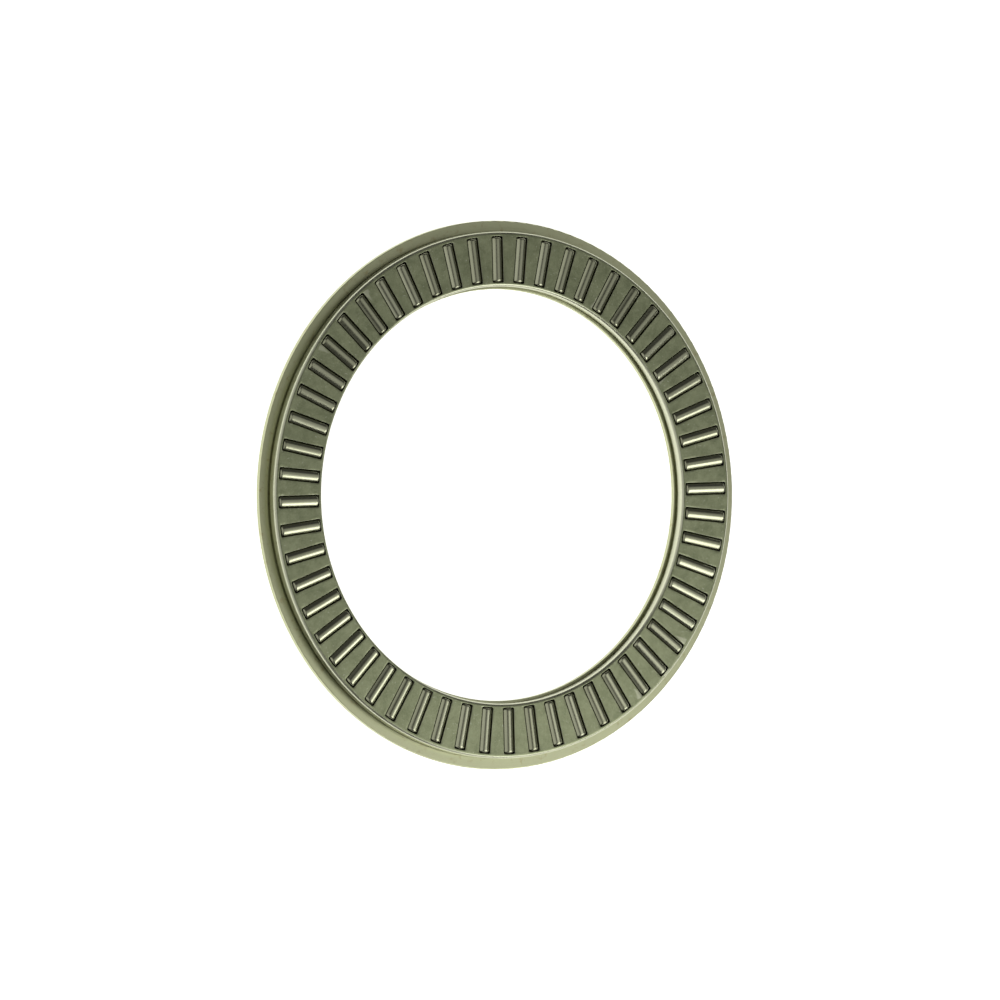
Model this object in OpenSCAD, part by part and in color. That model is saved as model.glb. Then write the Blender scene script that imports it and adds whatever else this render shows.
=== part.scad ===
// Axial needle roller bearing: a flat raceway washer, a sheet-steel cage made of
// two nested channel rings, and a ring of radial needle rollers.
// Z is the bearing's axis, and the washer's seating face lies on z = 0.

/* [Raceway washer] */
// Bore of the raceway washer
bore_d = 75; // [72:0.5:75]
// Outside diameter of the raceway washer
washer_od = 100; // [98:0.5:106]
// Thickness of the raceway washer
washer_t = 1; // [0.8:0.1:2]
// Radius that rounds the washer's edges
washer_edge_r = 0.15; // [0.1:0.05:0.3]

/* [Needle rollers] */
// Number of rollers, which is also the number of cage pockets
roller_count = 56; // [24:2:56]
// Roller diameter
roller_d = 2.5; // [2.3:0.1:2.7]
// Roller length over its rounded ends
roller_l = 8.2; // [7:0.1:8.3]
// Radius that rounds the roller's ends
roller_edge_r = 0.35; // [0.2:0.05:0.5]
// Distance from the bearing's axis to the middle of a roller
pitch_r = 42.95; // [42.9:0.05:43]

/* [Cage] */
// Inside radius of the cage
cage_inner_r = 38; // [37.8:0.05:38]
// Outside radius of the cage
cage_outer_r = 48; // [48:0.05:48.5]
// Thickness of the cage's sheet steel
sheet_t = 0.28; // [0.24:0.01:0.28]
// Outer radius of the bends in the top ring's sheet
top_bend_r = 0.6; // [0.5:0.05:0.65]
// Outer radius of the bends in the bottom ring's sheet
bottom_bend_r = 0.4; // [0.35:0.01:0.4]
// Height of the cage over both plates
cage_h = 1.86; // [1.8:0.02:1.9]
// Gap between a roller's side and the side of its pocket
pocket_side_gap = 0.08; // [0.04:0.01:0.1]
// Gap between a roller's end and the end of its pocket
pocket_end_gap = 0.15; // [0.1:0.01:0.16]

/* [Hidden] */
// Gap between a roller and the raceway, which keeps the solids apart
raceway_gap = 0.02;
// How far the top ring's walls stop short of the cage's lower face
skirt_gap = 0.08;
// How far cutting shapes run past the faces that they cut
overcut = 1;
$fn = 96;

roller_r = roller_d / 2;
roller_z = washer_t + raceway_gap + roller_r;
cage_top_z = roller_z + cage_h / 2;
cage_bottom_z = roller_z - cage_h / 2;
// Height of a plate's inner face above or below the roller's axis
plate_offset = cage_h / 2 - sheet_t;
// Half width at which a pocket's inner edge clears the roller by the side gap
pocket_half_w = sqrt(pow(roller_r + pocket_side_gap, 2) - pow(plate_offset, 2));
pocket_l = roller_l + 2 * pocket_end_gap;
pocket_step = 360 / roller_count;
// Height of the cutter, centred on a plate's outer face, that opens a pocket
pocket_cut_h = 2 * (sheet_t + overcut);

function roller_name(i) = str("roller_", i < 10 ? "0" : "", i);

// Rectangle from [x0, z0] to [x1, z1] with all four corners rounded.
module rounded_box_2d(x0, x1, z0, z1, r) {
    translate([x0 + r, z0]) square([x1 - x0 - 2 * r, z1 - z0]);
    translate([x0, z0 + r]) square([x1 - x0, z1 - z0 - 2 * r]);
    for (x = [x0 + r, x1 - r])
        for (z = [z0 + r, z1 - r])
            translate([x, z]) circle(r);
}

// Channel section: a flat plate at z = 0 below two walls that rise to wall_h,
// with the sheet bent round both lower corners.
module channel_2d(x0, x1, wall_h, bend_r) {
    difference() {
        rounded_box_2d(x0, x1, 0, wall_h + 2 * bend_r, bend_r);
        rounded_box_2d(
            x0 + sheet_t, x1 - sheet_t,
            sheet_t, wall_h + 3 * bend_r, bend_r - sheet_t
        );
        translate([x0 - overcut, wall_h])
            square([x1 - x0 + 2 * overcut, 3 * bend_r]);
    }
}

// Ring of channel section with a pocket through its plate for every roller.
module pocketed_ring(x0, x1, wall_h, bend_r) {
    difference() {
        rotate_extrude() channel_2d(x0, x1, wall_h, bend_r);
        for (i = [0 : roller_count - 1])
            rotate(i * pocket_step)
                translate([pitch_r, 0, 0])
                    cube([pocket_l, 2 * pocket_half_w, pocket_cut_h], center = true);
    }
}

// Flat hardened washer that carries the lower raceway.
module raceway_washer() {
    color([0.62, 0.61, 0.47])
        rotate_extrude()
            rounded_box_2d(bore_d / 2, washer_od / 2, 0, washer_t, washer_edge_r);
}

// Upper cage ring: its walls point down and wrap round the lower ring.
module cage_top_ring() {
    color([0.44, 0.47, 0.39])
        translate([0, 0, cage_top_z])
            mirror([0, 0, 1])
                pocketed_ring(
                    cage_inner_r, cage_outer_r, cage_h - skirt_gap, top_bend_r
                );
}

// Lower cage ring: its walls point up and fit between the top ring's walls.
module cage_bottom_ring() {
    color([0.40, 0.42, 0.35])
        translate([0, 0, cage_bottom_z])
            pocketed_ring(
                cage_inner_r + sheet_t, cage_outer_r - sheet_t,
                cage_h - sheet_t - top_bend_r, bottom_bend_r
            );
}

// Needle roller lying along a radius of the bearing, turned to its pocket.
module needle_roller(i) {
    color([0.75, 0.74, 0.68])
        rotate((i - 1) * pocket_step)
            translate([pitch_r - roller_l / 2, 0, roller_z])
                rotate([0, 90, 0])
                    rotate_extrude()
                        intersection() {
                            rounded_box_2d(
                                -roller_r, roller_r, 0, roller_l, roller_edge_r
                            );
                            square([roller_r, roller_l]);
                        }
}

raceway_washer();
cage_top_ring();
cage_bottom_ring();
for (i = [1 : roller_count])
    needle_roller(i);
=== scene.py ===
import math

import bmesh
import bpy
from mathutils import Matrix, Vector


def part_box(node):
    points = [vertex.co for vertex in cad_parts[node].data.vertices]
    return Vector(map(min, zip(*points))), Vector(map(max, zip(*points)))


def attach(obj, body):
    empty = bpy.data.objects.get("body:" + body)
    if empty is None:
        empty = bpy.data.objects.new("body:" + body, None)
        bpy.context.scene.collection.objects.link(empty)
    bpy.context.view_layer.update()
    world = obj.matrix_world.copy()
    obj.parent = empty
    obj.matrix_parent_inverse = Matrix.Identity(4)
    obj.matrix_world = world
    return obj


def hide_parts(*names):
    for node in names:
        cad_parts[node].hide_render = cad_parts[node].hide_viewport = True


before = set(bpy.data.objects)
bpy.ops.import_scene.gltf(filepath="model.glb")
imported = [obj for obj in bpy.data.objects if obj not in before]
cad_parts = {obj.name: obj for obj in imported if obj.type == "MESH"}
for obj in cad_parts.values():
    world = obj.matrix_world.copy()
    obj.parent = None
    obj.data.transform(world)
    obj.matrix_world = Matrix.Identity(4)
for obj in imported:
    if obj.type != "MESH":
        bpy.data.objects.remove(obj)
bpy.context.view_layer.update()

MM = 0.001  # lengths are in metres, unless a comment says otherwise

# Camera: angles in degrees, lens and sensor in millimetres. A long lens, far away, so that
# the ring shows hardly any perspective.
CAMERA_AZIMUTH = 178.4  # where the camera stands, counted from +X towards +Y
CAMERA_ELEVATION = 59.6
LENS = 800.0
SENSOR = 36.0
RING_SPAN = 0.5488  # share of the image's side that the washer's diameter takes
AIM_RIGHT = 0.75 * MM  # from the washer's centre, in the image
AIM_UP = -0.90 * MM
CLIP_NEAR = 0.01
CLIP_FAR = 100

# Area lights: direction from the ring, then distance and size in metres, then radiance.
KEY_LIGHT = {"direction": (0.545, -0.58, 0.606), "distance": 0.38, "size": (0.28, 0.21), "radiance": 2.2}
FILL_LIGHT = {"direction": (0.44, -0.44, 0.78), "distance": 0.22, "size": (0.16, 0.14), "radiance": 0.5}

# Surround: white up to just above the horizon and dim over that, with two soft glows. A glow
# starts at the angle from its direction whose cosine is rim, and is full where it is core.
HORIZON_LEVEL = 1.0
SURROUND_LEVEL = 0.06
HORIZON_FADE = (0.04, 0.05)  # the heading's z at which the white starts to fade, and ends
GLOWS = (
    {"direction": (0.5, 0.0, 0.87), "level": 0.41, "rim": 0.78, "core": 0.99},
    {"direction": (-0.9, 0.0, 0.42), "level": 0.62, "rim": 0.45, "core": 0.8},
)

# Floor
FLOOR_RADIUS = 20
FLOOR_CORNERS = 64
FLOOR_DROP = 0.02 * MM  # how far the floor lies under the washer's seating face
FLOOR_COLOUR = (0.92, 0.92, 0.92, 1)
FLOOR_ROUGHNESS = 0.9
FLOOR_GLOW = 0.9
WHITE = (1, 1, 1, 1)

# Cage: sheet, bends and gaps as in the CAD model, with rounded pocket corners and broken edges.
SHEET = 0.28 * MM
TOP_BEND = 0.6 * MM
BOTTOM_BEND = 0.4 * MM
POCKET_END_GAP = 0.15 * MM
POCKET_SIDE_GAP = 0.08 * MM
POCKET_CORNER = 0.3 * MM
EDGE_BREAK = 0.035 * MM
EDGE_BREAK_STEPS = 2
SHARP_ANGLE = 50  # degrees between faces from which an edge is broken
BEND_STEPS = 8
CORNER_STEPS = 4
PLATE_STEPS = 6
WALL_STEPS = 4
WEB_COLUMNS = 3
POCKET_COLUMNS = 4

# Rollers
ROLLER_END_ROUND = 0.45 * MM
ROLLER_END_STEPS = 8
ROLLER_SEGMENTS = 64
ROLLER_STATIONS = (0.0, 0.5, 0.85)  # rows along the side, as shares of the half length
ROLLER_FLAT = 0.35  # a ring on the flat end, as a share of the roller's radius

# Colours of the steel
WASHER_DARK = (0.43, 0.45, 0.26, 1)
WASHER_LIGHT = (0.54, 0.56, 0.35, 1)
WASHER_LINES = (0.74, 0.76, 0.53, 1)
WASHER_STAINS = (0.34, 0.27, 0.11, 1)
CAGE_DARK = (0.22, 0.245, 0.14, 1)
CAGE_LIGHT = (0.38, 0.41, 0.25, 1)
CAGE_SPECKS = (0.60, 0.62, 0.46, 1)
CAGE_STAINS = (0.40, 0.33, 0.16, 1)
# Painted sheen and wear: the lighter colour for the cage's bends and walls (painted sheen) and sharp
# edges (wear).
CAGE_SHEEN_AND_WEAR = (0.66, 0.67, 0.50, 1)
# Painted shade: near-black for the pocket walls, where shade falls between cage and rollers.
POCKET_SHADE = (0.035, 0.033, 0.022, 1)
ROLLER_LIGHT = (0.56, 0.575, 0.41, 1)
ROLLER_DARK = (0.38, 0.39, 0.25, 1)
# Painted shade: the near-black colour for the rollers' ends.
ROLLER_END_SHADE = (0.10, 0.09, 0.06, 1)


# Helpers for nodes ---------------------------------------------------------------

def add(tree, kind, inputs=None, **settings):
    """Adds a node, with its settings and with its inputs set or linked."""
    made = tree.nodes.new(kind)
    for key, value in settings.items():
        setattr(made, key, value)
    for key, value in (inputs or {}).items():
        if isinstance(value, bpy.types.NodeSocket):
            tree.links.new(value, made.inputs[key])
        else:
            made.inputs[key].default_value = value
    return made


def maths(tree, operation, *values):
    """The result of a Math node."""
    return add(tree, "ShaderNodeMath", dict(enumerate(values)), operation=operation).outputs[0]


def scaled(tree, value, share):
    """A value times a share."""
    return maths(tree, "MULTIPLY", value, share)


def weighted(tree, first, first_weight, second, second_weight):
    """Two values added up, each with a weight."""
    return maths(tree, "MULTIPLY_ADD", first, first_weight, scaled(tree, second, second_weight))


def vector_maths(tree, operation, *values):
    """A Vector Math node."""
    return add(tree, "ShaderNodeVectorMath", dict(enumerate(values)), operation=operation)


def component(tree, vector, index):
    """One component of a vector: 0 for X, 1 for Y and 2 for Z."""
    return add(tree, "ShaderNodeSeparateXYZ", {0: vector}).outputs[index]


def flattened(tree, place):
    """A place moved along Z onto z = 0, so that its length is its distance from the axis."""
    return vector_maths(tree, "MULTIPLY", place, (1, 1, 0)).outputs[0]


def length(tree, vector):
    """A vector's length."""
    return vector_maths(tree, "LENGTH", vector).outputs["Value"]


def object_place(tree):
    """The shaded point in the piece's own coordinates."""
    return add(tree, "ShaderNodeTexCoord").outputs["Object"]


def mixed(tree, factor, first, second):
    """Two colours mixed by a factor."""
    return add(tree, "ShaderNodeMix", {0: factor, 6: first, 7: second}, data_type="RGBA").outputs[2]


def ramped(tree, value, low, high, out_low=0.0, out_high=1.0):
    """A value moved smoothly from out_low to out_high as it passes from low to high."""
    made = add(
        tree, "ShaderNodeMapRange",
        {0: value, 1: low, 2: high, 3: out_low, 4: out_high},
        interpolation_type="SMOOTHSTEP",
    )
    return made.outputs[0]


def noise(tree, vector, scale, detail=3.0, roughness=0.5):
    """A noise value about 0.5. The scale is in features per unit of the vector."""
    made = add(
        tree, "ShaderNodeTexNoise",
        {"Vector": vector, "Scale": scale, "Detail": detail, "Roughness": roughness},
    )
    return made.outputs[0]


def polar(tree, around, across):
    """A seamless vector whose pattern changes slowly round the Z axis and fast across it."""
    place = object_place(tree)
    flat = flattened(tree, place)
    heading = vector_maths(tree, "NORMALIZE", flat).outputs[0]
    turned = add(tree, "ShaderNodeVectorMath", {0: heading, "Scale": around}, operation="SCALE")
    ring = scaled(tree, maths(tree, "ADD", length(tree, flat), component(tree, place, 2)), across)
    lifted = add(tree, "ShaderNodeCombineXYZ", {2: ring})
    return vector_maths(tree, "ADD", turned.outputs[0], lifted.outputs[0]).outputs[0]


# Materials -----------------------------------------------------------------------

def new_metal(name):
    """A metallic material, with its tree and its Principled shader."""
    material = bpy.data.materials.new(name)
    material.use_nodes = True
    tree = material.node_tree
    shader = tree.nodes["Principled BSDF"]
    shader.inputs["Metallic"].default_value = 1.0
    return material, tree, shader


def finish_metal(tree, shader, colour, roughness, height, bump_distance, bump_strength):
    """Links a metal's colour, roughness and surface height to its shader."""
    bump = add(
        tree, "ShaderNodeBump",
        {"Height": height, "Distance": bump_distance, "Strength": bump_strength},
    )
    tree.links.new(colour, shader.inputs["Base Color"])
    tree.links.new(roughness, shader.inputs["Roughness"])
    tree.links.new(bump.outputs[0], shader.inputs["Normal"])


def washer_steel():
    """Ground, oiled steel with a straw tint, fine lapping lines and faint stains."""
    material, tree, shader = new_metal("washer_steel")
    place = object_place(tree)
    lines = noise(tree, polar(tree, around=3.0, across=9000.0), scale=1.0, detail=4.0, roughness=0.6)
    cloud = noise(tree, place, scale=120.0, detail=4.0)
    stain = ramped(tree, noise(tree, place, scale=700.0, detail=5.0, roughness=0.65), 0.55, 0.72)
    base = mixed(tree, cloud, WASHER_DARK, WASHER_LIGHT)
    ground = mixed(tree, scaled(tree, lines, share=0.35), base, WASHER_LINES)
    colour = mixed(tree, scaled(tree, stain, share=0.45), ground, WASHER_STAINS)
    roughness = ramped(tree, maths(tree, "ADD", lines, cloud), 0.6, 1.4, out_low=0.28, out_high=0.46)
    finish_metal(tree, shader, colour, roughness, lines, bump_distance=0.01 * MM, bump_strength=0.35)
    return material


def pocket_wall(tree, place, surface, inner, outer):
    """How much painted shade a point gets: almost 1 on upright walls between two radii, and 0 elsewhere.

    Between the pockets' two ends, the only upright walls that show are the pockets' own.
    """
    radius = length(tree, flattened(tree, place))
    facing = component(tree, surface.outputs["True Normal"], 2)
    upright = maths(tree, "LESS_THAN", maths(tree, "ABSOLUTE", facing), 0.5)
    beyond_inner = maths(tree, "GREATER_THAN", radius, inner)
    within_outer = maths(tree, "LESS_THAN", radius, outer)
    span = maths(tree, "MULTIPLY", beyond_inner, within_outer)
    return scaled(tree, maths(tree, "MULTIPLY", span, upright), share=0.92)


def cage_steel(pocket_inner, pocket_outer):
    """Satin grey-green sheet steel, mottled, speckled, with edge wear, painted sheen on bends and walls,
    painted shade in pockets.
    """
    material, tree, shader = new_metal("cage_steel")
    place = object_place(tree)
    surface = add(tree, "ShaderNodeNewGeometry")

    mottle = noise(tree, place, scale=450.0, detail=5.0, roughness=0.6)
    grain = noise(tree, place, scale=5200.0, detail=3.0, roughness=0.6)
    tone = ramped(tree, weighted(tree, grain, 0.6, mottle, 0.7), 0.4, 0.9)
    base = mixed(tree, tone, CAGE_DARK, CAGE_LIGHT)
    speck = ramped(tree, noise(tree, place, scale=2600.0, detail=2.0, roughness=0.5), 0.66, 0.74)
    speckled = mixed(tree, scaled(tree, speck, share=0.6), base, CAGE_SPECKS)

    low = ramped(tree, component(tree, place, 2), 1.6 * MM, 2.8 * MM, out_low=1.0, out_high=0.0)
    patches = ramped(tree, noise(tree, place, scale=300.0, detail=4.0), 0.45, 0.7, out_high=0.6)
    stained = mixed(tree, maths(tree, "MULTIPLY", low, patches), speckled, CAGE_STAINS)

    # Sharp edges get the lighter colour as wear. Bends and walls get it as a painted sheen that stands
    # in for the highlights on the lips.
    edges = ramped(tree, surface.outputs["Pointiness"], 0.53, 0.60, out_high=0.5)
    tilt = maths(tree, "ABSOLUTE", component(tree, surface.outputs["Normal"], 2))
    painted_sheen = ramped(tree, tilt, 0.90, 0.985, out_low=0.8, out_high=0.0)
    sheen_and_wear = maths(tree, "MAXIMUM", edges, painted_sheen)
    bright = mixed(tree, sheen_and_wear, stained, CAGE_SHEEN_AND_WEAR)
    # Painted shade: the pocket walls are made near-black, standing in for the shade in the gaps round
    # the rollers.
    pocket_shade = pocket_wall(tree, place, surface, pocket_inner, pocket_outer)
    colour = mixed(tree, pocket_shade, bright, POCKET_SHADE)

    satin = ramped(tree, maths(tree, "ADD", mottle, grain), 0.6, 1.4, out_low=0.34, out_high=0.50)
    sheen_and_wear_on_roughness = -0.12
    roughness = maths(tree, "MULTIPLY_ADD", sheen_and_wear, sheen_and_wear_on_roughness, satin)
    finish_metal(tree, shader, colour, roughness, grain, bump_distance=0.01 * MM, bump_strength=0.3)
    return material


def roller_steel(half_length):
    """Polished bearing steel with fine lines round each roller and painted shade on its ends."""
    material, tree, shader = new_metal("roller_steel")
    place = object_place(tree)
    stretched = vector_maths(tree, "MULTIPLY", place, (6000, 300, 300)).outputs[0]
    lines = noise(tree, stretched, scale=1.0, detail=3.0, roughness=0.6)
    film = noise(tree, place, scale=500.0, detail=3.0)
    own_value = add(tree, "ShaderNodeObjectInfo").outputs["Random"]
    tone = weighted(tree, own_value, 0.35, film, 0.5)
    clean = mixed(tree, tone, ROLLER_LIGHT, ROLLER_DARK)
    along = maths(tree, "ABSOLUTE", component(tree, place, 0))
    # Painted shade: the last 0.3 mm of each end is darkened towards near-black, for the shade in the
    # pocket's end gaps.
    end = ramped(tree, along, half_length - 0.3 * MM, half_length, out_high=0.6)
    colour = mixed(tree, end, clean, ROLLER_END_SHADE)
    roughness = ramped(tree, maths(tree, "ADD", lines, film), 0.5, 1.5, out_low=0.17, out_high=0.28)
    finish_metal(tree, shader, colour, roughness, lines, bump_distance=0.0003 * MM, bump_strength=0.1)
    return material


# Shapes --------------------------------------------------------------------------

def arc(centre, radius, start, end, steps):
    """Points on an arc about centre, with angles in degrees."""
    angles = [math.radians(start + (end - start) * i / steps) for i in range(steps + 1)]
    return [(centre[0] + radius * math.cos(a), centre[1] + radius * math.sin(a)) for a in angles]


def spaced(start, end, steps):
    """Evenly spaced values from start to end, without start."""
    return [start + (end - start) * i / steps for i in range(1, steps + 1)]


def as_mesh(name, mesh):
    """Turns a bmesh into smooth-shaded mesh data."""
    data = bpy.data.meshes.new(name)
    mesh.to_mesh(data)
    mesh.free()
    for face in data.polygons:
        face.use_smooth = True
    return data


def as_object(name, data):
    """Puts data into the scene as an object."""
    made = bpy.data.objects.new(name, data)
    bpy.context.scene.collection.objects.link(made)
    return made


def pocket_stations(inner, outer, half_width):
    """The pocket's outline as (radius, half width) pairs from its inner end to its outer end."""
    narrow = half_width - POCKET_CORNER
    corner = arc((0, 0), POCKET_CORNER, 0, 90, CORNER_STEPS)
    start = [(inner + POCKET_CORNER - x, narrow + y) for x, y in corner]
    end = [(outer - POCKET_CORNER + x, narrow + y) for x, y in reversed(corner)]
    middle = [(r, half_width) for r in spaced(start[-1][0], end[0][0], PLATE_STEPS)[:-1]]
    return start + middle + end


def channel_stations(inner, outer, plate_z, wall_z, bend, pocket):
    """The rows of a ring's outer skin, from its inner wall over its plate to its outer wall.

    Each is a radius, a height, the half width of the pocket's columns, and whether it
    lies on the pocket's outline.
    """
    up = 1 if plate_z > wall_z else -1
    bend_z = plate_z - up * bend
    narrow = pocket[0][1]
    first_bend = arc((inner + bend, bend_z), bend, 180, 180 - up * 90, BEND_STEPS)
    last_bend = arc((outer - bend, bend_z), bend, up * 90, 0, BEND_STEPS)
    wall = [wall_z] + spaced(wall_z, bend_z, WALL_STEPS)[:-1]
    rows = [(inner, z, narrow, False) for z in wall]
    rows += [(r, z, narrow, False) for r, z in first_bend]
    rows += [(r, plate_z, half, True) for r, half in pocket]
    rows += [(r, z, narrow, False) for r, z in last_bend]
    rows += [(outer, z, narrow, False) for z in reversed(wall)]
    return rows


def column_angles(radius, half_width, step):
    """Angles of one pocket pitch's columns: web, pocket, web, without the last column."""
    edge = math.asin(half_width / radius)
    half_step = step / 2
    web = [-half_step + (half_step - edge) * i / WEB_COLUMNS for i in range(WEB_COLUMNS)]
    pocket = [-edge + 2 * edge * i / POCKET_COLUMNS for i in range(POCKET_COLUMNS)]
    other_web = [edge + (half_step - edge) * i / WEB_COLUMNS for i in range(WEB_COLUMNS)]
    return web + pocket + other_web


def pocketed_ring(name, stations, count, upward):
    """A ring of bent sheet with a pocket at every pitch, as one open skin."""
    step = 2 * math.pi / count
    columns = 2 * WEB_COLUMNS + POCKET_COLUMNS
    total = columns * count
    mesh = bmesh.new()
    verts = []
    for radius, z, half_width, _ in stations:
        offsets = column_angles(radius, half_width, step)
        row = []
        for pitch in range(count):
            for offset in offsets:
                angle = pitch * step + offset
                row.append(mesh.verts.new((radius * math.cos(angle), radius * math.sin(angle), z)))
        verts.append(row)
    for i in range(len(stations) - 1):
        open_here = stations[i][3] and stations[i + 1][3]
        for j in range(total):
            in_pocket = WEB_COLUMNS <= j % columns < WEB_COLUMNS + POCKET_COLUMNS
            if open_here and in_pocket:
                continue
            k = (j + 1) % total
            corners = [verts[i][j], verts[i + 1][j], verts[i + 1][k], verts[i][k]]
            mesh.faces.new(corners if upward else reversed(corners))
    loose = [v for v in mesh.verts if not v.link_faces]
    bmesh.ops.delete(mesh, geom=loose, context="VERTS")
    return as_object(name, as_mesh(name, mesh))


def thicken(ring, thickness):
    """Thickens a skin inwards, breaks its sharp edges and keeps its flats looking flat."""
    solid = ring.modifiers.new("sheet", "SOLIDIFY")
    solid.thickness = thickness
    solid.offset = -1
    solid.use_even_offset = True
    edge = ring.modifiers.new("edge_break", "BEVEL")
    edge.width = EDGE_BREAK
    edge.segments = EDGE_BREAK_STEPS
    edge.limit_method = "ANGLE"
    edge.angle_limit = math.radians(SHARP_ANGLE)
    flats = ring.modifiers.new("flats", "WEIGHTED_NORMAL")
    flats.keep_sharp = True


def roller_mesh(length_over_ends, radius):
    """A roller along X about the origin, with rounded ends."""
    half = length_over_ends / 2
    end_centre = (half - ROLLER_END_ROUND, radius - ROLLER_END_ROUND)
    rounding = arc(end_centre, ROLLER_END_ROUND, 90, 0, ROLLER_END_STEPS)
    side = [(half * share, radius) for share in ROLLER_STATIONS]
    right = side + rounding + [(half, radius * ROLLER_FLAT)]
    profile = [(-x, r) for x, r in reversed(right[1:])] + right
    angles = [2 * math.pi * i / ROLLER_SEGMENTS for i in range(ROLLER_SEGMENTS)]
    mesh = bmesh.new()
    rows = []
    for x, r in profile:
        rows.append([mesh.verts.new((x, r * math.cos(a), r * math.sin(a))) for a in angles])
    for a, b in zip(rows, rows[1:]):
        for i in range(ROLLER_SEGMENTS):
            k = (i + 1) % ROLLER_SEGMENTS
            mesh.faces.new((a[i], a[k], b[k], b[i]))
    mesh.faces.new(rows[0])
    mesh.faces.new(reversed(rows[-1]))
    bmesh.ops.recalc_face_normals(mesh, faces=mesh.faces)
    return as_mesh("needle_roller", mesh)


# Stage ---------------------------------------------------------------------------

def add_camera(centre, diameter):
    """A camera that looks at the ring from above its -X side, with +Y up in the image."""
    azimuth = math.radians(CAMERA_AZIMUTH)
    elevation = math.radians(CAMERA_ELEVATION)
    outward = Vector((math.cos(azimuth), math.sin(azimuth), 0))
    back = outward * math.cos(elevation) + Vector((0, 0, math.sin(elevation)))
    up = Vector((outward.y, -outward.x, 0))
    right = up.cross(back)
    distance = diameter * LENS / SENSOR / RING_SPAN
    aim = centre + right * AIM_RIGHT + up * AIM_UP
    data = bpy.data.cameras.new("camera")
    data.lens = LENS
    data.sensor_width = SENSOR
    data.clip_start = CLIP_NEAR
    data.clip_end = CLIP_FAR
    camera = as_object("camera", data)
    turn = Matrix((right, up, back)).transposed().to_4x4()
    camera.matrix_world = Matrix.Translation(aim + back * distance) @ turn
    bpy.context.scene.camera = camera


def add_area_light(name, target, direction, distance, size, radiance):
    """A rectangular soft light that shines at target from a direction."""
    data = bpy.data.lights.new(name, "AREA")
    data.shape = "RECTANGLE"
    data.size = size[0]
    data.size_y = size[1]
    data.energy = radiance * math.pi * size[0] * size[1]
    light = as_object(name, data)
    towards = Vector(direction).normalized()
    light.location = target + towards * distance
    light.rotation_mode = "QUATERNION"
    light.rotation_quaternion = towards.to_track_quat("Z", "Y")


def floor_white():
    """Matt white that glows a little, like a light table."""
    material = bpy.data.materials.new("floor_white")
    material.use_nodes = True
    shader = material.node_tree.nodes["Principled BSDF"]
    shader.inputs["Base Color"].default_value = FLOOR_COLOUR
    shader.inputs["Roughness"].default_value = FLOOR_ROUGHNESS
    shader.inputs["Emission Color"].default_value = WHITE
    shader.inputs["Emission Strength"].default_value = FLOOR_GLOW
    return material


def add_floor():
    """A wide, plain, nearly white floor under the washer."""
    mesh = bmesh.new()
    bmesh.ops.create_circle(mesh, cap_ends=True, radius=FLOOR_RADIUS, segments=FLOOR_CORNERS)
    floor = as_object("floor", as_mesh("floor", mesh))
    floor.location.z = -FLOOR_DROP
    floor.data.materials.append(floor_white())


def add_world():
    """A dim surround with soft glows, white up to just above the horizon."""
    world = bpy.data.worlds.new("studio")
    world.use_nodes = True
    tree = world.node_tree
    heading = add(tree, "ShaderNodeTexCoord").outputs["Generated"]
    rise = component(tree, heading, 2)
    strength = ramped(tree, rise, *HORIZON_FADE, HORIZON_LEVEL, SURROUND_LEVEL)
    for glow in GLOWS:
        towards = tuple(Vector(glow["direction"]).normalized())
        nearness = vector_maths(tree, "DOT_PRODUCT", heading, towards).outputs["Value"]
        level = ramped(tree, nearness, glow["rim"], glow["core"], out_high=glow["level"])
        strength = maths(tree, "MAXIMUM", strength, level)
    background = tree.nodes["Background"]
    background.inputs["Color"].default_value = WHITE
    tree.links.new(strength, background.inputs["Strength"])
    bpy.context.scene.world = world


washer_low, washer_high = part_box("raceway_washer")
centre = (washer_low + washer_high) / 2
add_camera(centre, washer_high.x - washer_low.x)
add_floor()
add_world()
add_area_light("key", centre, **KEY_LIGHT)
add_area_light("fill", centre, **FILL_LIGHT)


# Measures of the frame -----------------------------------------------------------

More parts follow.
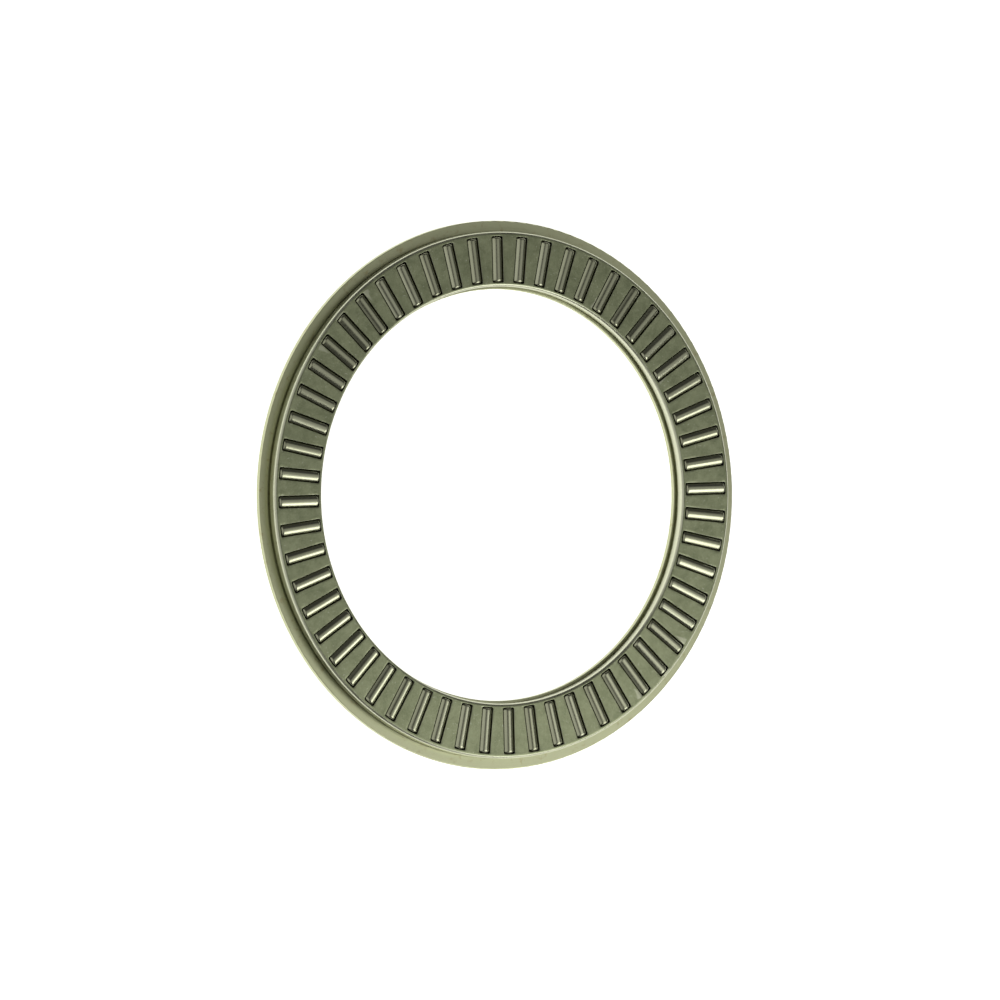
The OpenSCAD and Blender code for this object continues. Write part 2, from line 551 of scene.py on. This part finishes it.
def radial_span(node):
    """The least and greatest distance of a CAD node's points from the Z axis."""
    radii = [v.co.xy.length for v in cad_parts[node].data.vertices]
    return min(radii), max(radii)


roller_names = sorted(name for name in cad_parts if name.startswith("roller_"))
roller_low, roller_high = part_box(roller_names[0])  # roller_01 lies along +X
roller_radius = (roller_high.z - roller_low.z) / 2
roller_length = roller_high.x - roller_low.x
roller_axis_z = (roller_high.z + roller_low.z) / 2
pitch_radius = (roller_high.x + roller_low.x) / 2

upper_low, upper_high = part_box("cage_top_ring")
lower_low, lower_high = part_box("cage_bottom_ring")
plate_offset = upper_high.z - roller_axis_z - SHEET
pocket_half_width = math.sqrt((roller_radius + POCKET_SIDE_GAP) ** 2 - plate_offset ** 2)
pocket_inner = roller_low.x - POCKET_END_GAP
pocket_outer = roller_high.x + POCKET_END_GAP


# Cage ----------------------------------------------------------------------------

pocket = pocket_stations(pocket_inner, pocket_outer, pocket_half_width)
cage_finish = cage_steel(pocket_inner - SHEET / 2, pocket_outer + SHEET / 2)
for name, node, plate_z, wall_z, bend, upward in (
    ("cage_upper_shell", "cage_top_ring", upper_high.z, upper_low.z, TOP_BEND, True),
    ("cage_lower_shell", "cage_bottom_ring", lower_low.z, lower_high.z, BOTTOM_BEND, False),
):
    inner, outer = radial_span(node)
    stations = channel_stations(inner, outer, plate_z, wall_z, bend, pocket)
    shell = pocketed_ring(name, stations, len(roller_names), upward)
    thicken(shell, SHEET)
    shell.data.materials.append(cage_finish)
    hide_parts(node)
    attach(shell, "cage")


# Rollers -------------------------------------------------------------------------

roller_data = roller_mesh(roller_length, roller_radius)
roller_data.materials.append(roller_steel(roller_length / 2))
for i, node in enumerate(roller_names):
    turn = Matrix.Rotation(2 * math.pi * i / len(roller_names), 4, "Z")
    roller = as_object(node.replace("roller", "needle"), roller_data)
    roller.matrix_world = turn @ Matrix.Translation((pitch_radius, 0, roller_axis_z))
    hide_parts(node)
    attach(roller, node)


# Washer: the CAD shape with a better material ------------------------------------

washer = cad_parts["raceway_washer"]
washer.data.materials.clear()
washer.data.materials.append(washer_steel())

bpy.context.scene.view_settings.view_transform = "Standard"
